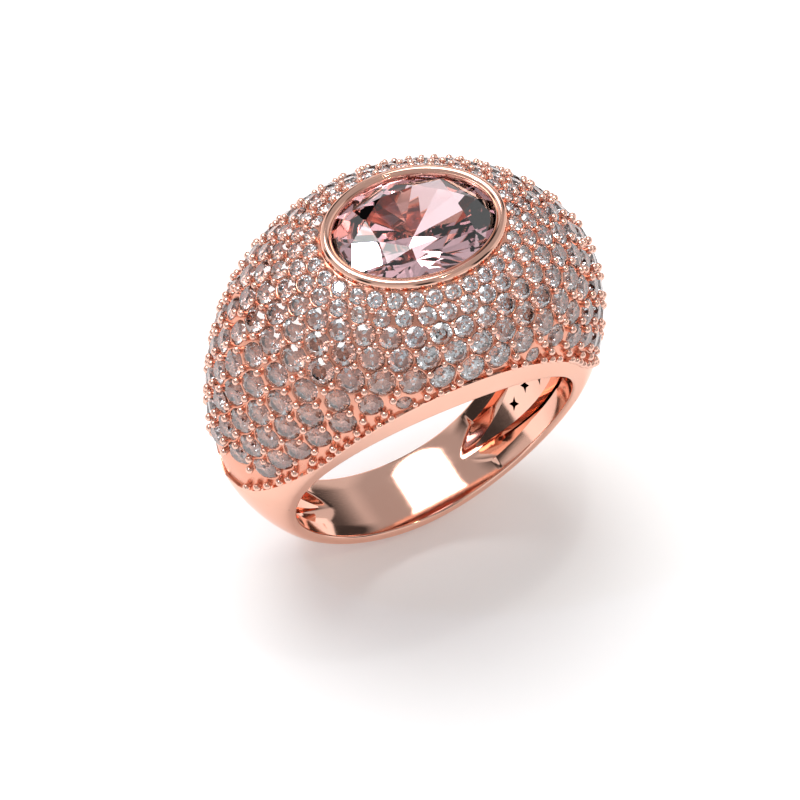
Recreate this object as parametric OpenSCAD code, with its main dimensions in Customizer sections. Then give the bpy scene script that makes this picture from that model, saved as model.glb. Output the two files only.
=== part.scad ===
// Domed cocktail ring: a bezel-set oval stone on a bombe head paved with round brilliants.
// The finger hole's centre is the origin, its axis is Y, and the head is up.

/* [Finger hole and band] */
// Diameter of the finger hole
finger_d = 17.2; // [15:0.1:21]
// Width of the band at its lowest point
band_w = 4.7; // [3:0.1:7]
// Radial thickness of the band at its lowest point
band_t = 1.6; // [1.2:0.1:2.4]
// Radial height of the band's side face at the bottom
edge_low = 0.35; // [0.2:0.05:0.6]

/* [Head] */
// Width of the head along the finger
head_w = 15.3; // [13:0.1:19]
// Height of the dome's crest above the finger hole's edge
dome_h = 7.7; // [6.5:0.1:10]
// Widest half length of the dome across the finger
dome_half_l = 12.0; // [11:0.1:15]
// Height of the dome's widest level above the finger hole's centre
dome_level = 4.35; // [3:0.05:6]
// Radial height of the side rail's polished face at the top
edge_high = 1.35; // [0.8:0.05:2]
// How late the band flares out to the head
flare_power = 1.65; // [1.2:0.05:2.4]
// Thickness of the side rail along the finger
rail_w = 1.25; // [0.9:0.05:1.8]

/* [Pave plate] */
// Depth of the paved field below the polished edge around it
field_recess = 0.22; // [0.15:0.01:0.35]
// Thickness of the drilled plate
plate_t = 0.88; // [0.8:0.02:1.2]
// Angle from the top where the paved field starts to close in
field_turn_a = 55; // [45:1:65]
// Angle from the top where the paved field ends
field_end_a = 92.5; // [80:0.5:98]

/* [Bezel and centre stone] */
// Length of the oval stone
stone_l = 9.8; // [8:0.1:11]
// Width of the oval stone
stone_w = 7.5; // [6:0.1:8.5]
// Height of the stone above its girdle
stone_crown = 1.15; // [0.8:0.05:1.6]
// Depth of the stone below its girdle
stone_pavilion = 2.9; // [2.4:0.05:3.4]
// Thickness of the bezel's wall
bezel_t = 0.45; // [0.35:0.05:0.7]
// Height of the bezel's rim above the dome's crest level
bezel_rise = -0.8; // [-1.2:0.05:-0.4]
// Depth of the bezel's collar
bezel_depth = 3.4; // [3:0.1:4]
// How far the folded lip covers the stone
lip_cover = 0.2; // [0.1:0.02:0.3]
// Height of the folded lip
lip_h = 0.5; // [0.4:0.05:0.7]

/* [Pave stones] */
// Stones in each ring that closes around the bezel
ring_count = 31; // [24:1:36]
// Rings that close around the bezel
closed_rings = 5; // [4:1:5]
// Rings in all, the outer ones only on the shoulders
all_rings = 11; // [9:1:11]
// Stone diameters from the first ring outwards, the last one repeated
pave_d = [0.95, 1.07, 1.24, 1.40, 1.52, 1.54];
// Distance from the bezel to the middle of the first ring
first_ring_gap = 0.87; // [0.75:0.01:1]
// Ring spacing as a share of the stones' diameter
row_share = 0.965; // [0.95:0.005:1.05]
// Spacing of the stones along the shoulder rings
shoulder_pitch = 1.90; // [1.8:0.02:2.2]
// Depth of a stone's girdle below the polished surface
girdle_depth = 0.24; // [0.22:0.01:0.35]
// Smallest metal between a stone and the field's edge
edge_web = 0.12; // [0.08:0.01:0.2]
// Smallest metal between the seats of two stones
stone_web = 0.05; // [0.03:0.01:0.08]
// Smallest stone that fills a gap at the field's edge
fill_d = 0.85; // [0.8:0.05:1.2]
// Clearance between a stone and its seat or a bead
seat_gap = 0.012; // [0.008:0.001:0.02]

/* [Beads] */
// Largest radius of a bead
bead_r = 0.20; // [0.15:0.01:0.25]
// Smallest radius of a bead
bead_min_r = 0.09; // [0.08:0.01:0.12]
// Height of a bead's centre above the plate, as a share of its radius
bead_lift_share = 0.8; // [0.6:0.05:0.9]
// Spacing of the lone beads along the field's edge
border_pitch = 0.72; // [0.6:0.02:1]

/* [Gallery] */
// Thickness of the inner panels
panel_t = 0.7; // [0.5:0.05:0.8]
// Growth of an inner panel's half width for each degree up from its tip
panel_slope = 0.036; // [0.03:0.001:0.04]
// Angle from the top where the inner panels end
panel_top_a = 33; // [30:1:40]
// Angle from the top where the inner grooves run out
groove_tip_a = 150; // [140:1:155]
// Width of a star opening
star_w = 0.9; // [0.6:0.05:1.2]

/* [Hidden] */

gold = "#d9a08a";
gold_dark = "#b87b66";
clear = "#e8ecf2";
rose = "#e58aa0";

finger_r = finger_d / 2;
crest_r = finger_r + dome_h;
base_r = finger_r + band_t;
bore_cut = 0.3;          // metal drawn inside the finger hole before it is bored
end_relief = 0.02;       // how far the meeting ends of the band and the rails stay back from the bore
// Inner radius that a section is drawn to before the finger hole is bored
function low_r(a) =
  abs(a) > field_end_a - 0.01 && abs(a) < field_end_a + 0.01 ? finger_r + end_relief : finger_r - bore_cut;
egg_upper_power = 2.12;  // fullness of the dome's outline above its widest level
egg_lower_power = 1.94;  // fullness below it
section_power = 2.0;     // fullness of the cross section at the crest and at the bottom
section_drop = 0.5;      // how much flatter the flanks are at the shoulders
edge_power = 2.2;        // how late the side face grows towards the head
turn_power = 2.3;        // fullness of the paved field's rounded ends
rim_a = 88;              // section angle of the field's edge along the rails
plate_low = field_recess + plate_t;
step_a = 5;              // angular step of the lofted bodies
girdle_z = crest_r + bezel_rise - lip_h - 0.05;
bezel_z = crest_r + bezel_rise;
bezel_a = stone_l / 2 + seat_gap + bezel_t;
bezel_b = stone_w / 2 + seat_gap + bezel_t;
oval_n = 72;
seat_turn = 24;          // facets of stones, seats and beads in the preview

// ---- the dome's surface, by angle around the finger and section angle across it ----
function rise(a, power) = pow((1 + cos(a)) / 2, power);
function half_w(a) = band_w / 2 + (head_w - band_w) / 2 * rise(a, flare_power);
function edge_h(a) = edge_low + (edge_high - edge_low) * rise(a, edge_power);
function fullness(a) = section_power - section_drop * pow(sin(a), 2);
function egg_side(x, z) =
  let (
    up = z > dome_level,
    n = up ? egg_upper_power : egg_lower_power,
    tall = up ? crest_r - dome_level : dome_level + base_r
  )
  pow(abs(x) / dome_half_l, n) + pow(abs(z - dome_level) / tall, n) - 1;
function egg_r(a, low, high, n) =
  n == 0 ? (low + high) / 2
  : let (mid = (low + high) / 2)
    egg_side(mid * sin(a), mid * cos(a)) < 0 ? egg_r(a, mid, high, n - 1)
    : egg_r(a, low, mid, n - 1);
EGG = [for (a = [0:2:180]) [a, egg_r(a, finger_r * 0.6, crest_r * 1.5, 24)]];
function top_r(a) = lookup(abs(a), EGG);

function signed_pow(v, n) = sign(v) * pow(abs(v), n);
function section_point(a, t, inset) =
  let (n = 2 / fullness(a), edge_r = finger_r + edge_h(a))
  [
    (half_w(a) - inset) * signed_pow(sin(t), n),
    edge_r + (top_r(a) - edge_r - inset) * pow(max(0, cos(t)), n)
  ];
function place(a, yr) = [yr[1] * sin(a), yr[0], yr[1] * cos(a)];
function dome_point(a, t, inset = 0) = place(a, section_point(a, t, inset));
function section_r(a, y, inset) =
  let (n = fullness(a), edge_r = finger_r + edge_h(a), s = min(1, abs(y) / (half_w(a) - inset)))
  edge_r + (top_r(a) - edge_r - inset) * pow(1 - pow(s, n), 1 / n);
function unit(v) = v / norm(v);
function dome_normal(a, t) =
  let (
    h = 0.5,
    along = dome_point(a + h, t) - dome_point(a - h, t),
    across = dome_point(a, min(89.9, t + h)) - dome_point(a, max(-89.9, t - h))
  )
  unit(cross(along, across));

// ---- outline of the paved field ----
function field_share(a) =
  let (x = (abs(a) - field_turn_a) / (field_end_a - field_turn_a))
  x <= 0 ? 1 : x >= 1 ? 0 : pow(1 - pow(x, turn_power), 1 / turn_power);
function field_t(a) = min(rim_a, asin(pow(field_share(a), fullness(a) / 2)));
border_step = 1.5;
BORDER = [
  for (side = [-1, 1]) for (a = [-field_end_a:border_step:field_end_a + 0.01])
    dome_point(a, side * field_t(a), field_recess)
];

// ---- distances measured over the dome: u along the crest, v down a section ----
function running(list) = [for (i = 0, s = 0; i <= len(list); s = s + (i < len(list) ? list[i] : 0), i = i + 1) s];
crest_angles = [0:2:110];
crest_steps = [for (a = [0:2:108]) norm(dome_point(a + 2, 0) - dome_point(a, 0))];
crest_run = running(crest_steps);
CREST = [for (i = [0:len(crest_run) - 1]) [crest_run[i], 2 * i]];
function crest_a(u) = sign(u) * lookup(abs(u), CREST);
section_step = 4;
flank_step = 3;
FLANKS = [
  for (a = [0:section_step:112])
    let (
      run = running([
        for (t = [0:flank_step:90 - flank_step])
          norm(section_point(a, t + flank_step, 0) - section_point(a, t, 0))
      ])
    )
    [for (i = [0:len(run) - 1]) [run[i], flank_step * i]]
];
function flank_t(a, v) =
  let (
    i = min(len(FLANKS) - 2, floor(abs(a) / section_step)),
    f = abs(a) / section_step - i
  )
  sign(v) * ((1 - f) * lookup(abs(v), FLANKS[i]) + f * lookup(abs(v), FLANKS[i + 1]));

// ---- pave rings: ovals at growing distances from the bezel ----
function stone_d(k) = pave_d[min(k, len(pave_d)) - 1];
function ring_gap(k) =
  k == 1 ? first_ring_gap
  : ring_gap(k - 1) + row_share * (stone_d(k - 1) + stone_d(k)) / 2;
function ring_at(gap, turn) =
  let (a = crest_a((bezel_a + gap) * cos(turn)))
  [a, flank_t(a, (bezel_b + gap) * sin(turn))];
turn_step = 3;
// A ring's run: distance along the oval against its turn, from one turn to another
function ring_run(gap, from, to) =
  let (
    turns = [for (i = [0:turn_step:to - from]) from + i],
    spots = [for (t = turns) let (p = ring_at(gap, t)) dome_point(p[0], p[1])],
    run = running([for (i = [0:len(spots) - 2]) norm(spots[i + 1] - spots[i])])
  )
  [for (i = [0:len(turns) - 1]) [run[i], turns[i]]];
function last(list) = list[len(list) - 1];
// Turns of a closed ring's places, equally spaced from the front, shifted by a share of a step
function closed_turns(gap, shift) =
  let (run = ring_run(gap, -90, 270), total = last(run)[0])
  [for (j = [0:ring_count - 1]) lookup((j + shift) * total / ring_count, run)];
// Turns of a shoulder ring's places, equally spaced either side of the crest line
function shoulder_turns(gap, shift) =
  let (run = ring_run(gap, 0, 90), reach = floor(last(run)[0] / shoulder_pitch - 0.5))
  [
    for (side = [0, 180]) for (j = [-reach:reach])
      let (s = (j + shift) * shoulder_pitch)
      side + sign(s) * lookup(abs(s), run)
  ];
function ring_turns(k, gap, shift) =
  k <= closed_rings ? closed_turns(gap, shift) : shoulder_turns(gap, shift);
function stagger(k) = k % 2 == 1 ? 0 : 0.5;
function border_gap(p) = min([for (b = BORDER) norm(b - p)]);
function in_field(at) = abs(at[0]) < field_end_a && abs(at[1]) < field_t(at[0]);
// A stone is [place, outward direction, radius, angle around the finger, section angle]
function ring_stones(k, inner) =
  let (
    ats = [for (turn = ring_turns(k, ring_gap(k), stagger(k))) ring_at(ring_gap(k), turn)],
    outs = [for (at = ats) dome_normal(at[0], at[1])],
    places = [for (i = [0:len(ats) - 1]) dome_point(ats[i][0], ats[i][1]) - girdle_depth * outs[i]],
    n = len(ats),
    steps = [for (i = [0:n - 1]) norm(places[(i + 1) % n] - places[i])]
  )
  [
    for (i = [0:n - 1])
      let (
        at = ats[i],
        edge_room = in_field(at) ? border_gap(dome_point(at[0], at[1], field_recess)) - edge_web : 0,
        side_room = (min(steps[i], steps[(i + n - 1) % n]) - seat_gap - stone_web) / 2,
        r = min(stone_d(k) / 2, edge_room, side_room, stone_room(places[i], inner) - stone_web)
      )
      if (r >= fill_d / 2) [places[i], outs[i], r, at[0], at[1]]
  ];
// Radius left at a point by the stones around it
function stone_room(p, stones) =
  len(stones) == 0 ? stone_l : min([for (s = stones) norm(s[0] - p) - s[2] - seat_gap]);
function rings_from(k, inner) =
  k > all_rings ? [] : let (ring = ring_stones(k, inner)) concat([ring], rings_from(k + 1, ring));
STONES = rings_from(1, []);
function near_stones(k) = [
  for (i = [max(1, k - 1):min(all_rings, k + 1)]) for (s = STONES[i - 1]) s
];
// A bead is [place on the plate, outward direction, radius]
function bead_at(at, stones) =
  let (
    out = dome_normal(at[0], at[1]),
    foot = dome_point(at[0], at[1]) - field_recess * out,
    r = min(bead_r, stone_room(foot, stones), border_gap(foot) - 0.02)
  )
  [foot, out, r];
function ring_beads(k) =
  let (stones = near_stones(k))
  [
    for (side = [-1, 1])
      let (
        row = side < 0 ? (k == 1 ? first_ring_gap * 1.2 : ring_gap(k) - ring_gap(k - 1))
          : ring_gap(k + 1) - ring_gap(k),
        gap = ring_gap(k) + side * row / 3
      )
      for (turn = ring_turns(k, gap, stagger(k) + 0.5))
        let (at = ring_at(gap, turn))
        if (in_field(at))
          let (bead = bead_at(at, stones))
          if (bead[2] >= bead_min_r) bead
  ];

// ---- building helpers ----
// Solid through equal-length section outlines; turned picks the other diagonal of each side face
module loft(rings, turned = false) {
  n = len(rings[0]);
  m = len(rings);
  polyhedron(
    points = [for (ring = rings) each ring],
    faces = concat(
      [[for (i = [0:n - 1]) i]],
      [[for (i = [n - 1:-1:0]) (m - 1) * n + i]],
      [
        for (j = [0:m - 2]) for (i = [0:n - 1])
          let (i2 = (i + 1) % n)
          each turned
            ? [[j * n + i, (j + 1) * n + i, j * n + i2], [(j + 1) * n + i, (j + 1) * n + i2, j * n + i2]]
            : [[j * n + i, (j + 1) * n + i, (j + 1) * n + i2], [j * n + i, (j + 1) * n + i2, j * n + i2]]
      ]
    )
  );
}
// Solid of a [width, height] outline carried around an oval, outwards from it
module oval_sweep(a, b, outline) {
  n = len(outline);
  function spot(i, q) =
    let (t = 360 * i / oval_n, out = unit([cos(t) / a, sin(t) / b]))
    [a * cos(t) + q[0] * out[0], b * sin(t) + q[0] * out[1], q[1]];
  polyhedron(
    points = [for (i = [0:oval_n - 1]) for (q = outline) spot(i, q)],
    faces = [
      for (i = [0:oval_n - 1]) for (j = [0:n - 1])
        let (i2 = (i + 1) % oval_n, j2 = (j + 1) % n)
        each [[i * n + j, i * n + j2, i2 * n + j2], [i * n + j, i2 * n + j2, i2 * n + j]]
    ]
  );
}
module finger_bore() {
  rotate([90, 0, 0]) cylinder(r = finger_r, h = head_w * 2, center = true, $fn = 180);
}
// Turns the children's +Z to an outward direction and puts them at a point
module seat_frame(at, out) {
  translate(at) rotate([0, acos(out[2]), atan2(out[1], out[0])]) children();
}
function stations(from, to, step = step_a) =
  let (n = ceil(abs(to - from) / step))
  [for (i = [0:n]) from + (to - from) * i / n];

// ---- metal body ----
function rail_in(a) = half_w(a) - min(rail_w, half_w(a) * 0.42);
function groove_r(a, y) =
  min(finger_r - 0.15 + 0.035 * (groove_tip_a - abs(a)), section_r(a, y, 1.0));
flank_n = 9;
floor_n = 1;
// Section of the hoop below the head, with its shallow inner groove
function hoop_section(a) =
  let (w = half_w(a), in = rail_in(a), low = low_r(a))
  [
    for (p = concat(
      [[-w, low]],
      [for (i = [0:2 * flank_n]) section_point(a, -90 + 90 * i / flank_n, 0)],
      [[w, low], [in, low]],
      [for (i = [0:floor_n]) let (y = (in - 0.08) * (1 - 2 * i / floor_n)) [y, max(low + 0.02, groove_r(a, y))]],
      [[-in, low]]
    )) place(a, p)
  ];
module shank_hoop() {
  color(gold) minkowski() difference() {
    loft([for (a = stations(360 - field_end_a, field_end_a)) hoop_section(a > 180 ? a - 360 : a)], true);
    finger_bore();
  }
}
rail_n = 8;
// Point at a share of the way from a start through a corner and on along a curve's angles
function bent_run(a, share, start, from_t, to_t, inset) =
  let (
    corner = section_point(a, from_t, inset),
    flat = norm(corner - start),
    bend = norm(section_point(a, to_t, inset) - corner),
    gone = share * (flat + bend)
  )
  gone <= flat ? start + (corner - start) * gone / flat
  : section_point(a, from_t + (to_t - from_t) * (gone - flat) / bend, inset);
// Section of a side rail on the front (-1) or back (1): side face, edge, recess wall, ledge
function rail_section(a, side) =
  let (
    w = half_w(a),
    in = rail_in(a),
    low = low_r(a),
    edge_t = max(1, field_t(a)),
    in_t = asin(pow(min(0.985, in / (w - plate_low)), fullness(a) / 2)),
    outer = [for (i = [0:rail_n]) bent_run(a, i / rail_n, [w, low], 90, edge_t, 0)],
    under = [for (i = [rail_n:-1:0]) bent_run(a, i / rail_n, [in, low], in_t, edge_t, plate_low)]
  )
  [for (p = concat(outer, [section_point(a, edge_t, field_recess)], under)) place(a, [side * p[0], p[1]])];
module side_rail(side) {
  difference() {
    loft([
      for (a = stations(-field_end_a, field_end_a))
        rail_section(side * a, side)
    ]);
    finger_bore();
  }
}
module front_side_rail() { color(gold) minkowski() side_rail(-1); }
module back_side_rail() { color(gold) minkowski() side_rail(1); }

// ---- pave plates ----
plate_n = 8;        // facets across a plate
plate_step = 9;     // angular step of the plates
crown_a = 37;       // angle from the top where the crown plates meet the shoulder plates
plate_end_a = field_end_a - 0.5;
// Section angle at which a level of the dome reaches the bezel's wall or the crest line
function bezel_t(a, inset) =
  let (
    x = (top_r(a) - inset) * sin(a),
    y = abs(x) >= bezel_a ? 0 : bezel_b * sqrt(1 - pow(x / bezel_a, 2)) + bezel_clear
  )
  asin(pow(y / (half_w(a) - inset), fullness(a) / 2));
// One level of a plate's section; side -1 is its front half, 1 its back half, 0 the whole width
function plate_level(a, side, inset) =
  let (
    edge_t = field_t(a),
    from = side == 1 ? bezel_t(a, inset) : -edge_t,
    to = side == -1 ? -bezel_t(a, inset) : edge_t
  )
  [for (i = [0:plate_n]) section_point(a, from + (to - from) * i / plate_n, inset)];
function plate_section(a, side) =
  let (under = plate_level(a, side, plate_low))
  [for (p = concat(plate_level(a, side, field_recess), [for (i = [plate_n:-1:0]) under[i]])) place(a, p)];
module plate(angles, side) {
  reach = 7;        // degrees past the plate's own angles where a seat can still cut it
  from_a = min(angles);
  to_a = max(angles);
  difference() {
    loft([for (a = angles) plate_section(a, side)], true);
    for (ring = STONES) for (s = ring)
      if (s[3] > from_a - reach && s[3] < to_a + reach && s[4] * side > -12)
        seat_frame(s[0], s[1]) rotate([0, 0, seam_a]) seat_cut(s[2]);
  }
}
bezel_clear = 0.03;  // gap between the plates and the bezel's wall
// Crown angles from right to left, close together where the bezel's outline turns
bezel_end_a = atan(bezel_a / (crest_r - 0.9));
bezel_turns = [for (f = [0:11.25:180]) bezel_end_a * cos(f)];
crown_angles = concat([crown_a, (crown_a + bezel_end_a) / 2], bezel_turns, [-(crown_a + bezel_end_a) / 2, -crown_a]);
seam_a = 17;       // keeps the seats' seams off the plates' edges
module left_pave_plate() { color(gold_dark) minkowski() plate(stations(-crown_a, -plate_end_a, plate_step), 0); }
module right_pave_plate() { color(gold_dark) minkowski() plate(stations(plate_end_a, crown_a, plate_step), 0); }
module crown_front_plate() { color(gold_dark) minkowski() plate(crown_angles, -1); }
module crown_back_plate() { color(gold_dark) minkowski() plate(crown_angles, 1); }

// ---- round stones, their seats and their beads ----
table_share = 0.56;
crown_share = 0.32;
girdle_share = 0.06;
pavilion_share = 0.86;
culet_share = 0.04;
seat_n = 8;
module round_stone(r) {
  rotate_extrude($fn = seat_turn) polygon([
    [0, crown_share * r], [table_share * r, crown_share * r], [r, 0], [r, -girdle_share * r],
    [culet_share * r, -(girdle_share + pavilion_share) * r], [0, -(girdle_share + pavilion_share) * r]
  ]);
}
// Blind conical seat; its flats touch the clearance circle around the stone
module seat_cut(r) {
  wide = (r + seat_gap) / cos(180 / seat_n);
  shoulder = girdle_share * r + seat_gap;
  rotate_extrude($fn = seat_n)
    polygon([[0, 1], [wide, 1], [wide, -shoulder], [0, -shoulder - pavilion_share * wide]]);
}
module pave_ring(k) {
  color(clear) for (s = STONES[k - 1]) seat_frame(s[0], s[1]) round_stone(s[2]);
}
module bead(r) {
  translate([0, 0, bead_lift_share * r]) sphere(r, $fn = seat_turn);
}
module beads_ring(k) {
  color(gold) for (b = ring_beads(k)) seat_frame(b[0], b[1]) bead(b[2]);
}
border_in = 0.30;   // distance of the lone beads from the field's edge
module border_beads() {
  all = [for (ring = STONES) each ring];
  others = [for (k = [1:all_rings]) each ring_beads(k)];
  spots = [
    for (side = [-1, 1]) for (a = [-field_end_a + 6:border_pitch / finger_r * 50:field_end_a - 6])
      let (t = side * (field_t(a) - border_in / (top_r(a) - finger_r) * 70))
      bead_at([a, t], all)
  ];
  color(gold) for (b = spots)
    if (b[2] >= bead_min_r && min([for (o = others) norm(o[0] - b[0]) - o[2] - b[2]]) > 0.01)
      seat_frame(b[0], b[1]) bead(b[2]);
}

// ---- bezel and centre stone ----
module bezel_collar() {
  seat_in = 0.35;   // width of the ledge under the stone
  low = bezel_z - bezel_depth;
  color(gold) oval_sweep(bezel_a, bezel_b, [
    [0, low], [0, bezel_z - lip_h], [-bezel_t, bezel_z - lip_h], [-bezel_t, girdle_z - 0.12],
    [-bezel_t - seat_in, girdle_z - 0.55], [-bezel_t - seat_in, low]
  ]);
}
module bezel_lip() {
  width = bezel_t + seat_gap + lip_cover;
  foot = bezel_z - lip_h;
  color(gold) oval_sweep(bezel_a, bezel_b, concat(
    [[-bezel_t, foot], [0, foot]],
    [for (t = [0:18:90]) [-width * 0.5 * (1 - cos(t)), foot + lip_h * (0.45 + 0.55 * sin(t))]],
    [[-width * 0.82, foot + lip_h * 0.86], [-width, foot + lip_h * 0.55], [-width, foot + lip_h * 0.42]]
  ));
}
// One level of the oval stone, as a share of its outline
function stone_level(share, z) = [
  for (i = [0:31]) [stone_l / 2 * share * cos(i * 11.25), stone_w / 2 * share * sin(i * 11.25), girdle_z + z]
];
module centre_stone() {
  color(rose) loft([
    stone_level(0.05, -stone_pavilion), stone_level(0.62, -stone_pavilion * 0.45),
    stone_level(1, -0.09), stone_level(1, 0.02), stone_level(0.8, stone_crown * 0.66),
    stone_level(0.58, stone_crown)
  ]);
}

// ---- inner panels with star openings ----
panel_tip_a = 143;
function panel_section(a) =
  let (w = panel_slope * (groove_tip_a - 5 - abs(a)), top = min(finger_r + panel_t, groove_r(a, w)))
  [for (p = [[-w, finger_r - bore_cut], [-w, top], [w, top], [w, finger_r - bore_cut]]) place(a, p)];
module star(width) {
  rotate([0, 0, 45]) linear_extrude(3 * panel_t, center = true)
    polygon([for (i = [0:7]) let (r = i % 2 == 0 ? width / 2 : width / 5) [r * cos(45 * i), r * sin(45 * i)]]);
}
star_rows = [for (i = [0:7]) 119 - 10 * i];
module gallery_panel(side) {
  difference() {
    loft([
      for (a = side > 0 ? stations(panel_tip_a, panel_top_a) : stations(-panel_top_a, -panel_tip_a))
        panel_section(a)
    ]);
    finger_bore();
    for (i = [0:len(star_rows) - 1]) {
      a = star_rows[i];
      spread = i < 2 ? 0 : panel_slope * (groove_tip_a - 5 - a) * 0.5;
      for (y = spread == 0 ? [0] : [-spread, spread])
        rotate([0, side * a, 0]) translate([0, y, finger_r]) star(star_w);
    }
  }
}
module left_gallery_panel() { color(gold_dark) gallery_panel(-1); }
module right_gallery_panel() { color(gold_dark) gallery_panel(1); }

shank_hoop();
front_side_rail();
back_side_rail();
left_pave_plate();
right_pave_plate();
crown_front_plate();
crown_back_plate();
left_gallery_panel();
right_gallery_panel();
bezel_collar();
bezel_lip();
centre_stone();
pave_ring(1);  // pave_ring_01
pave_ring(2);  // pave_ring_02
pave_ring(3);  // pave_ring_03
pave_ring(4);  // pave_ring_04
pave_ring(5);  // pave_ring_05
pave_ring(6);  // pave_ring_06
pave_ring(7);  // pave_ring_07
pave_ring(8);  // pave_ring_08
pave_ring(9);  // pave_ring_09
pave_ring(10);  // pave_ring_10
pave_ring(11);  // pave_ring_11
beads_ring(1);  // beads_ring_01
beads_ring(2);  // beads_ring_02
beads_ring(3);  // beads_ring_03
beads_ring(4);  // beads_ring_04
beads_ring(5);  // beads_ring_05
beads_ring(6);  // beads_ring_06
beads_ring(7);  // beads_ring_07
beads_ring(8);  // beads_ring_08
beads_ring(9);  // beads_ring_09
beads_ring(10);  // beads_ring_10
beads_ring(11);  // beads_ring_11
border_beads();
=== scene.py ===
import math
import random

import bmesh
import bpy
import numpy as np
from mathutils import Matrix, Vector


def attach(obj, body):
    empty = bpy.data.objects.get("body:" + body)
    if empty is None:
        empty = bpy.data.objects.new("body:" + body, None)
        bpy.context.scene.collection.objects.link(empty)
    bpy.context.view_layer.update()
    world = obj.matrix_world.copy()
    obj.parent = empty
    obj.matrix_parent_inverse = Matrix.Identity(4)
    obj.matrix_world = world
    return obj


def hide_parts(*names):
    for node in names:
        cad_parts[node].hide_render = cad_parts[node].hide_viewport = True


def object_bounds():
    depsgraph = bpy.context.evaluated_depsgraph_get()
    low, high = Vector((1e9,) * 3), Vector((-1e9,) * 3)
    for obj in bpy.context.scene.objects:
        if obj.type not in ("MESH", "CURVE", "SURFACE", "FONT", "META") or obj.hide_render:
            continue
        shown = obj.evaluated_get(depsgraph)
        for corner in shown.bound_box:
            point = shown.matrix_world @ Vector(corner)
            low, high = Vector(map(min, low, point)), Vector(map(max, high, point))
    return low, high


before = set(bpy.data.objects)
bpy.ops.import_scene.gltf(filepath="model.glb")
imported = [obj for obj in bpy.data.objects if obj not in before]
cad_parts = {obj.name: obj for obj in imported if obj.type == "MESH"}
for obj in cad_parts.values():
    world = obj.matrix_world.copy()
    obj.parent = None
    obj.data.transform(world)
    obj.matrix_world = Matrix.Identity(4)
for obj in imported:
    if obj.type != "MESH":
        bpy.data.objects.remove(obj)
cad_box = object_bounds()
random.seed(7)
MM = 0.001

# ---------------------------------------------------------------- dimensions, in millimetres
BORE_R = 8.6            # finger hole radius
BAND_W, HEAD_W = 4.7, 15.3
BAND_T, DOME_H = 1.6, 7.7
EDGE_LOW, EDGE_HIGH = 0.35, 1.35
DOME_HALF_L, DOME_LEVEL = 12.0, 4.35
FLARE_POWER, EDGE_POWER = 1.65, 2.2
RAIL_W = 1.25
FIELD_RECESS, PLATE_T = 0.22, 0.88
FIELD_TURN_A, FIELD_END_A, TURN_POWER = 55.0, 92.5, 2.3
RIM_A = 88.0
PLATE_LOW = FIELD_RECESS + PLATE_T
CROWN_A = 37.0          # where the crown plates meet the shoulder plates
CREST_R, BASE_R = BORE_R + DOME_H, BORE_R + BAND_T
STONE_L, STONE_W = 9.8, 7.5
STONE_CROWN, STONE_PAVILION = 1.15, 2.9
BEZEL_Z = CREST_R - 0.8
GIRDLE_Z = BEZEL_Z - 0.55
STONE_GROW = 1.03       # drawn stone against the CAD stone
PIT_GROW = 1.04         # pit under a stone against the CAD stone
BEAD_GROW, BEAD_MIN, BEAD_MAX = 1.45, 0.185, 0.235


# ---------------------------------------------------------------- the ring's surface
def sind(a):
    return np.sin(np.radians(a))


def cosd(a):
    return np.cos(np.radians(a))


def rise(a, power):
    return ((1 + cosd(a)) / 2) ** power


def half_w(a):
    return BAND_W / 2 + (HEAD_W - BAND_W) / 2 * rise(a, FLARE_POWER)


def edge_h(a):
    return EDGE_LOW + (EDGE_HIGH - EDGE_LOW) * rise(a, EDGE_POWER)


def fullness(a):
    return 2.0 - 0.5 * sind(a) ** 2


def egg_radius(a):
    """Distance from the finger hole's centre to the dome's outline, at an angle from the top."""
    low, high = BORE_R * 0.6, CREST_R * 1.5
    for _ in range(30):
        mid = (low + high) / 2
        x, z = mid * sind(a), mid * cosd(a)
        up = z > DOME_LEVEL
        n = 2.12 if up else 1.94
        tall = CREST_R - DOME_LEVEL if up else DOME_LEVEL + BASE_R
        inside = (abs(x) / DOME_HALF_L) ** n + (abs(z - DOME_LEVEL) / tall) ** n < 1
        low, high = (mid, high) if inside else (low, mid)
    return (low + high) / 2


EGG_A = np.arange(0, 181, 2.0)
EGG_R = np.array([egg_radius(a) for a in EGG_A])


def top_r(a):
    return float(np.interp(abs(a), EGG_A, EGG_R))


def section_point(a, t, inset=0.0):
    """(across, radial) place on a section, t from -90 at the front edge to 90 at the back edge."""
    n = 2 / fullness(a)
    edge_r = BORE_R + edge_h(a)
    s, c = sind(t), max(0.0, cosd(t))
    return np.array([(half_w(a) - inset) * math.copysign(abs(s) ** n, s),
                     edge_r + (top_r(a) - edge_r - inset) * c ** n])


def section_r(a, y, inset):
    n = fullness(a)
    edge_r = BORE_R + edge_h(a)
    s = min(1.0, abs(y) / (half_w(a) - inset))
    return edge_r + (top_r(a) - edge_r - inset) * (1 - s ** n) ** (1 / n)


def field_t(a):
    x = (abs(a) - FIELD_TURN_A) / (FIELD_END_A - FIELD_TURN_A)
    share = 1.0 if x <= 0 else 0.0 if x >= 1 else (1 - x ** TURN_POWER) ** (1 / TURN_POWER)
    return min(RIM_A, math.degrees(math.asin(share ** (fullness(a) / 2))))


def place(a, p):
    return (p[1] * sind(a) * MM, p[0] * MM, p[1] * cosd(a) * MM)


def run(points, n):
    """n + 1 places equally spaced along a polyline."""
    points = np.array(points)
    steps = np.linalg.norm(np.diff(points, axis=0), axis=1)
    at = np.concatenate([[0], np.cumsum(steps)])
    want = np.linspace(0, at[-1], n + 1)
    return [np.array([np.interp(w, at, points[:, 0]), np.interp(w, at, points[:, 1])]) for w in want]


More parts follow.
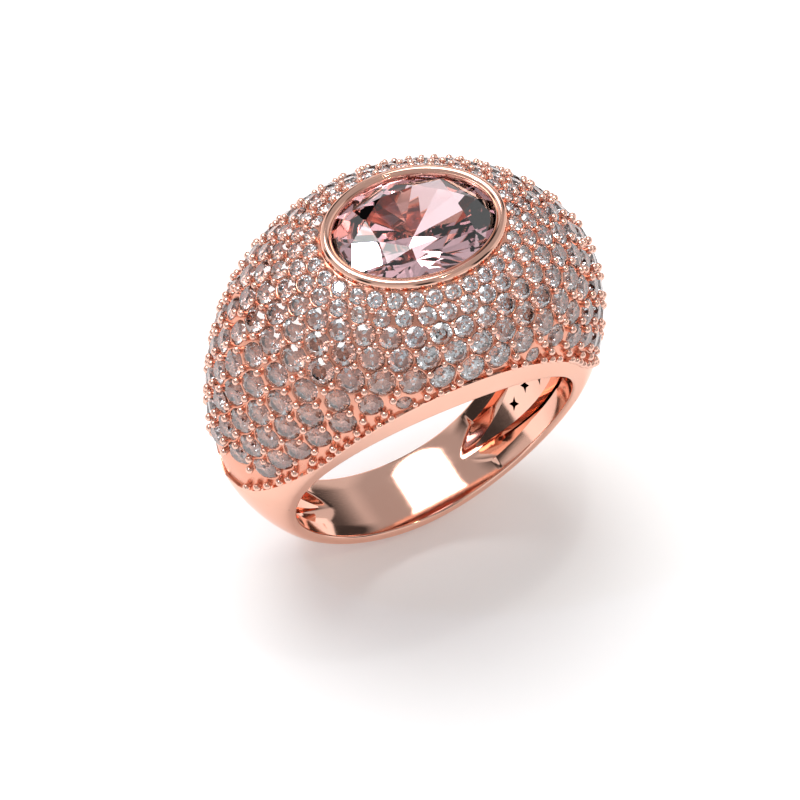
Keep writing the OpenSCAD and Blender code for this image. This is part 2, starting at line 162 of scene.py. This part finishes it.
# ---------------------------------------------------------------- mesh helpers
def new_object(name, verts, faces, smooth=True, sharp=35):
    mesh = bpy.data.meshes.new(name)
    mesh.from_pydata([tuple(v) for v in verts], [], faces)
    bm = bmesh.new()
    bm.from_mesh(mesh)
    bmesh.ops.remove_doubles(bm, verts=bm.verts, dist=1e-7)
    bmesh.ops.recalc_face_normals(bm, faces=bm.faces)
    bm.to_mesh(mesh)
    bm.free()
    if smooth:
        mesh.shade_smooth()
        mesh.set_sharp_from_angle(angle=math.radians(sharp))
    ob = bpy.data.objects.new(name, mesh)
    bpy.context.scene.collection.objects.link(ob)
    return ob


def loft(name, rings, closed=False, sharp=35):
    n, m = len(rings[0]), len(rings)
    verts = [p for ring in rings for p in ring]
    faces = []
    for j in range(m if closed else m - 1):
        k = (j + 1) % m
        for i in range(n):
            i2 = (i + 1) % n
            faces.append((j * n + i, k * n + i, k * n + i2, j * n + i2))
    if not closed:
        faces.append(tuple(range(n)))
        faces.append(tuple((m - 1) * n + i for i in range(n - 1, -1, -1)))
    return new_object(name, verts, faces, sharp=sharp)


def islands(node):
    """Point sets of a CAD node's separate solids, in metres."""
    bm = bmesh.new()
    bm.from_mesh(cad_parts[node].data)
    bmesh.ops.remove_doubles(bm, verts=bm.verts, dist=2e-7)
    seen, found = set(), []
    for v in bm.verts:
        if v.index in seen or not v.link_faces:
            continue
        seen.add(v.index)
        group, stack = [], [v]
        while stack:
            w = stack.pop()
            group.append(tuple(w.co))
            for e in w.link_edges:
                o = e.other_vert(w)
                if o.index not in seen:
                    seen.add(o.index)
                    stack.append(o)
        found.append(np.array(group))
    bm.free()
    found.sort(key=lambda g: tuple(np.round(g.mean(0) * 1e4).astype(int)))
    return found


def round_solid(points):
    """(place of the girdle's centre, outward direction, radius) of a turned stone."""
    centre = points.mean(0)
    values, axes = np.linalg.eigh(np.cov((points - centre).T))
    gaps = [abs(values[1] - values[2]), abs(values[0] - values[2]), abs(values[0] - values[1])]
    out = axes[:, int(np.argmin(gaps))]
    if out @ centre < 0:
        out = -out
    along = (points - centre) @ out
    away = np.linalg.norm((points - centre) - along[:, None] * out, axis=1)
    r = away.max()
    girdle = along[away > 0.98 * r].max()
    return centre + girdle * out, out, r


# ---------------------------------------------------------------- materials
def link(tree, a, b):
    tree.links.new(a, b)


def metal(name, light, dark, rough, scratch):
    """Polished rose gold: slow colour drift, cloudy polish and fine directionless buffing marks."""
    m = bpy.data.materials.new(name)
    m.use_nodes = True
    t = m.node_tree
    b = t.nodes["Principled BSDF"]
    b.inputs["Metallic"].default_value = 1.0
    b.inputs["Specular Tint"].default_value = (1.0, 0.86, 0.80, 1.0)
    co = t.nodes.new("ShaderNodeTexCoord")
    slow = t.nodes.new("ShaderNodeTexNoise")
    slow.inputs["Scale"].default_value = 260.0
    slow.inputs["Detail"].default_value = 3.0
    ramp = t.nodes.new("ShaderNodeValToRGB")
    ramp.color_ramp.elements[0].position, ramp.color_ramp.elements[1].position = 0.3, 0.7
    ramp.color_ramp.elements[0].color = (*dark, 1)
    ramp.color_ramp.elements[1].color = (*light, 1)
    link(t, co.outputs["Object"], slow.inputs["Vector"])
    link(t, slow.outputs["Fac"], ramp.inputs["Fac"])
    link(t, ramp.outputs["Color"], b.inputs["Base Color"])
    cloud = t.nodes.new("ShaderNodeTexNoise")
    cloud.inputs["Scale"].default_value = 900.0
    cloud.inputs["Detail"].default_value = 6.0
    cloud.inputs["Roughness"].default_value = 0.65
    level = t.nodes.new("ShaderNodeMapRange")
    level.inputs["From Min"].default_value, level.inputs["From Max"].default_value = 0.3, 0.7
    level.inputs["To Min"].default_value, level.inputs["To Max"].default_value = rough * 0.7, rough * 1.35
    link(t, co.outputs["Object"], cloud.inputs["Vector"])
    link(t, cloud.outputs["Fac"], level.inputs["Value"])
    link(t, level.outputs["Result"], b.inputs["Roughness"])
    mapping = t.nodes.new("ShaderNodeMapping")
    mapping.inputs["Scale"].default_value = (1.0, 7.0, 1.0)
    fine = t.nodes.new("ShaderNodeTexNoise")
    fine.inputs["Scale"].default_value = 3200.0
    fine.inputs["Detail"].default_value = 4.0
    bump = t.nodes.new("ShaderNodeBump")
    bump.inputs["Strength"].default_value = scratch
    bump.inputs["Distance"].default_value = 0.00002
    link(t, co.outputs["Object"], mapping.inputs["Vector"])
    link(t, mapping.outputs["Vector"], fine.inputs["Vector"])
    link(t, fine.outputs["Fac"], bump.inputs["Height"])
    link(t, bump.outputs["Normal"], b.inputs["Normal"])
    return m


def gem(name, tint, tint_dark, ior, volume=None, density=0.0):
    """Cut stone: clear with a faint drift of tint."""
    m = bpy.data.materials.new(name)
    m.use_nodes = True
    t = m.node_tree
    b = t.nodes["Principled BSDF"]
    b.inputs["Transmission Weight"].default_value = 1.0
    b.inputs["IOR"].default_value = ior
    b.inputs["Roughness"].default_value = 0.0
    co = t.nodes.new("ShaderNodeTexCoord")
    drift = t.nodes.new("ShaderNodeTexNoise")
    drift.inputs["Scale"].default_value = 520.0
    drift.inputs["Detail"].default_value = 2.0
    ramp = t.nodes.new("ShaderNodeValToRGB")
    ramp.color_ramp.elements[0].position, ramp.color_ramp.elements[1].position = 0.35, 0.65
    ramp.color_ramp.elements[0].color = (*tint_dark, 1)
    ramp.color_ramp.elements[1].color = (*tint, 1)
    link(t, co.outputs["Object"], drift.inputs["Vector"])
    link(t, drift.outputs["Fac"], ramp.inputs["Fac"])
    link(t, ramp.outputs["Color"], b.inputs["Base Color"])
    if volume:
        v = t.nodes.new("ShaderNodeVolumeAbsorption")
        v.inputs["Color"].default_value = (*volume, 1)
        v.inputs["Density"].default_value = density
        link(t, v.outputs["Volume"], t.nodes["Material Output"].inputs["Volume"])
    return m


GOLD = metal("rose_gold_polished", (0.93, 0.56, 0.44), (0.90, 0.52, 0.40), 0.085, 0.05)
# pave plate metal: a rougher finish, and a darker colour that is painted shade of the recess between the stones
SHADED_PLATE = metal("rose_gold_plate", (0.84, 0.41, 0.30), (0.76, 0.34, 0.24), 0.22, 0.25)
# bead metal: a slightly rougher finish, and a lighter copy of the polished gold colour that is painted
# highlight on the raised beads
HIGHLIT_BEAD = metal("rose_gold_beads_painted_highlight", (0.95, 0.60, 0.49), (0.92, 0.55, 0.44), 0.13, 0.05)
CLEAR = gem("white_stone", (0.97, 0.99, 1.0), (0.84, 0.90, 0.98), 2.42)
PINK = gem("pink_stone", (1.0, 0.88, 0.91), (1.0, 0.82, 0.86), 1.9, (0.98, 0.48, 0.56), 70.0)


def dress(ob, material, slot, *nodes):
    ob.data.materials.clear()
    ob.data.materials.append(material)
    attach(ob, "root")
    if nodes:
        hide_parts(*nodes)
    return ob


# ---------------------------------------------------------------- side rails and band
def rail_in(a):
    return half_w(a) - min(RAIL_W, half_w(a) * 0.42)


def bore_bevel(w):
    return [(w - 0.16, BORE_R), (w - 0.10, BORE_R + 0.012), (w - 0.045, BORE_R + 0.045),
            (w - 0.012, BORE_R + 0.10), (w, BORE_R + 0.16)]


def outer_run(a, to_t, n):
    """Side face and outer surface from the bore's bevel to a section angle."""
    w = half_w(a)
    curve = [(w, BORE_R + 0.16), (w, BORE_R + edge_h(a))]
    curve += [section_point(a, t) for t in np.linspace(90, to_t, 24)[1:]]
    return run(curve, n)


def rail_ring(a, side):
    w, inner = half_w(a), rail_in(a)
    edge_t = max(0.8, field_t(a))
    points = bore_bevel(w)[:-1] + outer_run(a, edge_t, 30)
    rim = section_point(a, edge_t)
    wall = section_point(a, edge_t, FIELD_RECESS)
    away = rim - wall
    away = away / np.linalg.norm(away)
    along = np.array([-away[1], away[0]])
    points[-1] = rim
    points += [rim + along * 0.035 - away * 0.012, rim + along * 0.05 - away * 0.05]
    deep = section_point(a, edge_t, PLATE_LOW)
    in_t = math.degrees(math.asin(min(0.985, inner / (w - PLATE_LOW)) ** (fullness(a) / 2)))
    under = [deep + along * 0.02]
    under += [section_point(a, t, PLATE_LOW) for t in np.linspace(edge_t, in_t, 12)[1:]]
    under += [np.array([inner, BORE_R + 0.1])]
    points += run(under, 20)
    points += [(inner + 0.03, BORE_R + 0.03), (inner + 0.1, BORE_R)]
    return [place(a, (side * p[0], p[1])) for p in points]


for side, name in ((-1, "front_side_rail"), (1, "back_side_rail")):
    angles = np.linspace(-FIELD_END_A, FIELD_END_A, 149)
    rail = loft(name + "_polished", [rail_ring(a, side) for a in angles], sharp=40)
    dress(rail, GOLD, "rose_gold_polished", name)


def groove_r(a, y):
    inner = rail_in(a)
    depth = 0.045 * (150 - abs(a)) - 0.45 * (abs(y) / inner) ** 1.7
    return BORE_R + max(0.0, min(depth, section_r(a, y, 0.9) - BORE_R))


def hoop_ring(a):
    w, inner = half_w(a), rail_in(a)
    half = bore_bevel(w)[:-1] + outer_run(a, 0, 34)
    points = half + [(-p[0], p[1]) for p in reversed(half[:-1])]
    points += [(-inner, BORE_R)]
    points += [(y, groove_r(a, y)) for y in np.linspace(-inner + 0.02, inner - 0.02, 33)]
    points += [(inner, BORE_R)]
    return [place(a, p) for p in points]


hoop = loft("shank_hoop_polished", [hoop_ring(a if a <= 180 else a - 360)
                                    for a in np.linspace(FIELD_END_A, 360 - FIELD_END_A, 161)], sharp=40)
dress(hoop, GOLD, "rose_gold_polished", "shank_hoop")


# ---------------------------------------------------------------- bezel
def oval_sweep(name, outline, n=240):
    a, b = STONE_L / 2 + 0.462, STONE_W / 2 + 0.462
    rings = []
    for t in np.linspace(0, 2 * math.pi, n, endpoint=False):
        out = np.array([math.cos(t) / a, math.sin(t) / b])
        out /= np.linalg.norm(out)
        rings.append([((a * math.cos(t) + q[0] * out[0]) * MM,
                       (b * math.sin(t) + q[0] * out[1]) * MM, q[1] * MM) for q in outline])
    return loft(name, rings, closed=True, sharp=50)


foot = BEZEL_Z - 0.5
rim = [(0.0, foot), (0.0, foot + 0.14)]
rim += [(-0.30 + 0.30 * math.cos(t), foot + 0.16 + 0.34 * math.sin(t))
        for t in np.radians(np.arange(6, 91, 7))]
rim += [(-0.36, foot + 0.495), (-0.43, foot + 0.465), (-0.50, foot + 0.415), (-0.545, foot + 0.37),
        (-0.555, foot + 0.385), (-0.585, foot + 0.405), (-0.62, foot + 0.39), (-0.645, foot + 0.34),
        (-0.65, foot + 0.2), (-0.46, foot + 0.06), (-0.46, foot)]
dress(oval_sweep("bezel_lip_rolled", rim), GOLD, "rose_gold_polished", "bezel_lip")
low = BEZEL_Z - 3.4
collar = [(0.0, low), (0.0, foot), (-0.45, foot), (-0.45, GIRDLE_Z - 0.12),
          (-0.80, GIRDLE_Z - 0.55), (-0.80, low)]
dress(oval_sweep("bezel_collar_polished", collar), GOLD, "rose_gold_polished", "bezel_collar")


# ---------------------------------------------------------------- cut stones
def brilliant(table=0.56, crown=0.32, girdle=0.06, pavilion=0.86, lower=0.2, turn=0.0):
    """Points and faces of a round brilliant of radius 1, its girdle's top at z = 0."""
    def ring(r, z, n, shift):
        return [(r * math.cos(math.radians(turn + shift + 360 * i / n)),
                 r * math.sin(math.radians(turn + shift + 360 * i / n)), z) for i in range(n)]
    mid_r = (table + 1) / 2
    mid_z = crown * (1 - mid_r * cosd(22.5)) / (1 - table)
    culet = -girdle - pavilion
    low_z = culet + pavilion * lower * cosd(22.5)
    verts = ring(table, crown, 8, 0) + ring(mid_r, mid_z, 8, 22.5) + ring(1, 0, 16, 0)
    verts += ring(1, -girdle, 16, 0) + ring(lower, low_z, 8, 22.5) + [(0, 0, culet)]
    T, M, G, g, L, C = 0, 8, 16, 32, 48, 56
    faces = [tuple(range(8))]
    for i in range(8):
        j, h = (i + 1) % 8, (i - 1) % 8
        a, b, c = 2 * i, 2 * i + 1, (2 * i + 2) % 16
        faces += [(T + i, M + i, T + j), (T + i, M + h, G + a, M + i)]
        faces += [(M + i, G + a, G + b), (M + i, G + b, G + c)]
        faces += [(G + a, g + a, g + b, G + b), (G + b, g + b, g + c, G + c)]
        faces += [(g + a, L + h, C, L + i), (g + a, L + i, g + b), (g + b, L + i, g + c)]
    return verts, faces


def turn_to(out):
    z = Vector(out)
    x = Vector((0.31, 0.42, 0.85)).cross(z).normalized()
    return Matrix((x, z.cross(x), z)).transposed()


round_v, round_f = brilliant()
stones = []
for k in range(1, 12):
    node = f"pave_ring_{k:02d}"
    verts, faces = [], []
    for points in islands(node):
        centre, out, r = round_solid(points)
        stones.append((centre, out, r))
        tilt = np.array([random.gauss(0, 0.035) for _ in range(3)])
        turn = turn_to((out + tilt) / np.linalg.norm(out + tilt))
        turn = turn @ Matrix.Rotation(random.uniform(0, math.pi), 3, "Z")
        start = len(verts)
        verts += [tuple(Vector(centre) + turn @ Vector(v) * (r * STONE_GROW)) for v in round_v]
        faces += [tuple(start + i for i in f) for f in round_f]
    ob = new_object(f"{node}_brilliants", verts, faces, smooth=False)
    dress(ob, CLEAR, "white_stone", node)

oval_v, oval_f = brilliant(table=0.57, crown=1.0, girdle=0.03, pavilion=1.0, lower=0.24, turn=22.5)
oval_v = [(v[0] * STONE_L / 2 * MM, v[1] * STONE_W / 2 * MM,
           (GIRDLE_Z + (v[2] * STONE_CROWN if v[2] > 0 else v[2] * STONE_PAVILION / 1.03)) * MM)
          for v in oval_v]
centre = new_object("centre_stone_oval_cut", oval_v, oval_f, smooth=False)
dress(centre, PINK, "pink_stone", "centre_stone")


# ---------------------------------------------------------------- beads
def bead_shape(levels=6, turns=10):
    """Unit bead: a ball on a short neck that runs down into the plate."""
    outline = [(0.0, 1.0)]
    outline += [(math.sin(t), math.cos(t)) for t in np.linspace(0, math.radians(118), levels)[1:]]
    outline += [(0.80, -1.1), (0.0, -1.1)]
    verts, faces = [(0, 0, outline[0][1])], []
    for r, z in outline[1:-1]:
        verts += [(r * math.cos(2 * math.pi * i / turns), r * math.sin(2 * math.pi * i / turns), z)
                  for i in range(turns)]
    verts.append((0, 0, outline[-1][1]))
    rows, last = len(outline) - 2, len(verts) - 1
    for i in range(turns):
        j = (i + 1) % turns
        faces.append((0, 1 + i, 1 + j))
        for k in range(rows - 1):
            a, b = 1 + k * turns, 1 + (k + 1) * turns
            faces.append((a + i, b + i, b + j, a + j))
        faces.append((1 + (rows - 1) * turns + j, 1 + (rows - 1) * turns + i, last))
    return verts, faces


bead_v, bead_f = bead_shape()
stone_c = np.array([s[0] for s in stones])
stone_o = np.array([s[1] for s in stones])
for node in [f"beads_ring_{k:02d}" for k in range(1, 12)] + ["border_beads"]:
    verts, faces = [], []
    for points in islands(node):
        centre = (points.min(0) + points.max(0)) / 2
        r = (points.max(0) - points.min(0)).max() / 2
        near = np.argsort(np.linalg.norm(stone_c - centre, axis=1))[:3]
        out = stone_o[near].mean(0)
        out /= np.linalg.norm(out)
        size = min(BEAD_MAX * MM, max(r * BEAD_GROW, BEAD_MIN * MM))
        turn = turn_to(out)
        start = len(verts)
        at = Vector(centre) + Vector(out) * (0.10 * MM + (r - size) * 0.5)
        verts += [tuple(at + turn @ Vector(v) * size) for v in bead_v]
        faces += [tuple(start + i for i in f) for f in bead_f]
    ob = new_object(f"{node}_raised", verts, faces, sharp=60)
    dress(ob, HIGHLIT_BEAD, "rose_gold_polished", node)

# ---------------------------------------------------------------- pave plates
def pitted(points, outward):
    """Sink the plate's surface into a cone under every stone."""
    sunk = points.copy()
    for centre, out, r in stones:
        rel = points - centre
        near = np.where((rel ** 2).sum(1) < (1.6 * r) ** 2)[0]
        along = rel[near] @ out
        away = np.linalg.norm(rel[near] - along[:, None] * out, axis=1)
        pit_r = PIT_GROW * r
        depth = np.clip((pit_r - away) * 1.1, 0, 0.85 * r) + along * (away < pit_r)
        sunk[near] -= np.clip(depth, 0, None)[:, None] * outward[near]
    return sunk


def pave_plate(node, from_a, to_a, side):
    """Thin plate between two angles; side -1 front half, 1 back half, 0 whole width."""
    rows = np.linspace(from_a, to_a, int((to_a - from_a) * 3.6) + 1)
    shares = np.linspace(-1 if side < 1 else 0, 1 if side > -1 else 0, 190 if side == 0 else 110)
    top, low = (np.array([place(a, section_point(a, u * field_t(a), inset)) for a in rows for u in shares])
                for inset in (FIELD_RECESS, PLATE_LOW - 0.06))
    outward = (top - low) / np.linalg.norm(top - low, axis=1)[:, None]
    top = pitted(top, outward)
    m, n = len(rows), len(shares)
    inside = (top[:, 0] / (STONE_L / 2 + 0.2) / MM) ** 2 + (top[:, 1] / (STONE_W / 2 + 0.2) / MM) ** 2 < 1
    faces, edges = [], {}
    for j in range(m - 1):
        for i in range(n - 1):
            quad = (j * n + i, (j + 1) * n + i, (j + 1) * n + i + 1, j * n + i + 1)
            if inside[list(quad)].all():
                continue
            faces += [quad, tuple(m * n + q for q in reversed(quad))]
            for a, b in zip(quad, quad[1:] + quad[:1]):
                if edges.pop((b, a), None) is None:
                    edges[(a, b)] = True
    faces += [(b, a, m * n + a, m * n + b) for a, b in edges]
    ob = new_object(node + "_pitted", np.concatenate([top, low]), faces, sharp=50)
    dress(ob, SHADED_PLATE, "rose_gold_plate", node)


pave_plate("left_pave_plate", -FIELD_END_A + 0.5, -CROWN_A, 0)
pave_plate("right_pave_plate", CROWN_A, FIELD_END_A - 0.5, 0)
pave_plate("crown_front_plate", -CROWN_A, CROWN_A, -1)
pave_plate("crown_back_plate", -CROWN_A, CROWN_A, 1)

# ---------------------------------------------------------------- carried-over CAD nodes
for name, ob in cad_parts.items():
    if "gallery" in name:
        ob.data.materials.clear()
        ob.data.materials.append(GOLD)

# ---------------------------------------------------------------- floor, light and camera
floor_z = cad_box[0][2]


def floor_material():
    m = bpy.data.materials.new("pale_floor")
    m.use_nodes = True
    t = m.node_tree
    b = t.nodes["Principled BSDF"]
    b.inputs["Roughness"].default_value = 0.9
    b.inputs["Specular IOR Level"].default_value = 0.1
    b.inputs["Emission Color"].default_value = (1.0, 1.0, 1.0, 1)
    b.inputs["Emission Strength"].default_value = 0.16
    noise = t.nodes.new("ShaderNodeTexNoise")
    noise.inputs["Scale"].default_value = 6.0
    ramp = t.nodes.new("ShaderNodeValToRGB")
    ramp.color_ramp.elements[0].color = (0.90, 0.90, 0.90, 1)
    ramp.color_ramp.elements[1].color = (0.92, 0.92, 0.92, 1)
    link(t, noise.outputs["Fac"], ramp.inputs["Fac"])
    link(t, ramp.outputs["Color"], b.inputs["Base Color"])
    return m


bpy.ops.mesh.primitive_circle_add(vertices=96, radius=3.0, fill_type="NGON", location=(0, 0, floor_z))
floor = bpy.context.object
floor.name = "floor"
floor.data.materials.append(floor_material())


def area(name, place_at, aim, size, power, colour=(1, 1, 1)):
    data = bpy.data.lights.new(name, "AREA")
    data.shape = "DISK"
    data.size = size
    data.energy = power
    data.color = colour
    ob = bpy.data.objects.new(name, data)
    bpy.context.scene.collection.objects.link(ob)
    ob.location = place_at
    ob.rotation_euler = (Vector(aim) - Vector(place_at)).to_track_quat("-Z", "Y").to_euler()
    return ob


area("overhead_softbox", (-0.03, 0.12, 0.33), (0, 0, 0), 0.30, 1.0)
area("spark_warm", (0.10, -0.16, 0.30), (0, 0, 0.01), 0.012, 0.05, (1.0, 0.82, 0.5))
area("spark_cool", (-0.16, 0.04, 0.28), (0, 0, 0.01), 0.012, 0.05, (0.6, 0.72, 1.0))
area("spark_white", (0.02, 0.02, 0.36), (0, 0, 0.01), 0.014, 0.06)


def studio_world():
    """Pale tent with a few dark gaps between its panels, for contrast in metal and stones."""
    world = bpy.data.worlds.new("studio")
    bpy.context.scene.world = world
    world.use_nodes = True
    t = world.node_tree
    back = t.nodes["Background"]
    co = t.nodes.new("ShaderNodeTexCoord")
    xyz = t.nodes.new("ShaderNodeSeparateXYZ")
    turn = t.nodes.new("ShaderNodeMath")
    turn.operation = "ARCTAN2"
    share = t.nodes.new("ShaderNodeMapRange")
    share.inputs["From Min"].default_value, share.inputs["From Max"].default_value = -math.pi, math.pi
    panels = t.nodes.new("ShaderNodeValToRGB")
    ramp = panels.color_ramp
    stops = [(0.00, 0.85), (0.05, 0.9), (0.065, 0.04), (0.10, 0.04), (0.115, 0.8), (0.22, 1.0), (0.235, 0.05),
             (0.265, 0.05), (0.28, 0.7), (0.36, 0.9), (0.375, 0.03), (0.42, 0.03), (0.435, 1.0), (0.55, 1.0),
             (0.565, 0.06), (0.59, 0.06), (0.605, 0.8), (0.70, 0.95), (0.715, 0.03), (0.755, 0.03), (0.77, 0.9),
             (0.86, 1.0), (0.875, 0.05), (0.91, 0.05), (0.925, 0.85), (1.0, 0.85)]
    while len(ramp.elements) < len(stops):
        ramp.elements.new(0.5)
    for e, (p, v) in zip(ramp.elements, stops):
        e.position, e.color = p, (v, v, v * 1.01, 1)
    height = t.nodes.new("ShaderNodeValToRGB")
    h = height.color_ramp
    marks = [(0.0, 0.0), (0.45, 0.0), (0.62, 1.0), (1.0, 1.0)]
    while len(h.elements) < len(marks):
        h.elements.new(0.5)
    for e, (p, v) in zip(h.elements, marks):
        e.position, e.color = p, (v, v, v, 1)
    mix = t.nodes.new("ShaderNodeMix")
    mix.data_type = "RGBA"
    mix.inputs["B"].default_value = (0.55, 0.55, 0.56, 1)
    path = t.nodes.new("ShaderNodeLightPath")
    seen = t.nodes.new("ShaderNodeMix")
    seen.data_type = "RGBA"
    seen.inputs["B"].default_value = (1.5, 1.5, 1.52, 1)
    link(t, co.outputs["Generated"], xyz.inputs["Vector"])
    link(t, xyz.outputs["Y"], turn.inputs[0])
    link(t, xyz.outputs["X"], turn.inputs[1])
    link(t, turn.outputs["Value"], share.inputs["Value"])
    link(t, share.outputs["Result"], panels.inputs["Fac"])
    link(t, xyz.outputs["Z"], height.inputs["Fac"])
    link(t, height.outputs["Color"], mix.inputs["Factor"])
    link(t, panels.outputs["Color"], mix.inputs["A"])
    link(t, path.outputs["Is Camera Ray"], seen.inputs["Factor"])
    link(t, mix.outputs["Result"], seen.inputs["A"])
    link(t, seen.outputs["Result"], back.inputs["Color"])
    back.inputs["Strength"].default_value = 0.85


studio_world()

AZ, EL, ROLL = math.radians(-30.2213), math.radians(50.8731), math.radians(3.6554)
PX_MM, FAR, IMAGE = 17.5295, 277.8, 800.0
AIM_X, AIM_Y = 402.377, 402.022     # where the finger hole's centre falls in the image
back = Vector((math.sin(AZ) * math.cos(EL), -math.cos(AZ) * math.cos(EL), math.sin(EL)))
right = Vector((math.cos(AZ), math.sin(AZ), 0))
up = back.cross(right)
right, up = (math.cos(ROLL) * right + math.sin(ROLL) * up,
             -math.sin(ROLL) * right + math.cos(ROLL) * up)
cam_data = bpy.data.cameras.new("camera")
cam_data.sensor_width = 36.0
cam_data.lens = PX_MM * FAR / IMAGE * 36.0
cam_data.clip_start, cam_data.clip_end = 0.01, 20.0
cam = bpy.data.objects.new("camera", cam_data)
bpy.context.scene.collection.objects.link(cam)
spot = (-(AIM_X - IMAGE / 2) / PX_MM * right - (IMAGE / 2 - AIM_Y) / PX_MM * up + FAR * back) * MM
cam.matrix_world = Matrix.Translation(spot) @ Matrix((right, up, back)).transposed().to_4x4()
bpy.context.scene.camera = cam
bpy.context.scene.view_settings.view_transform = "Standard"
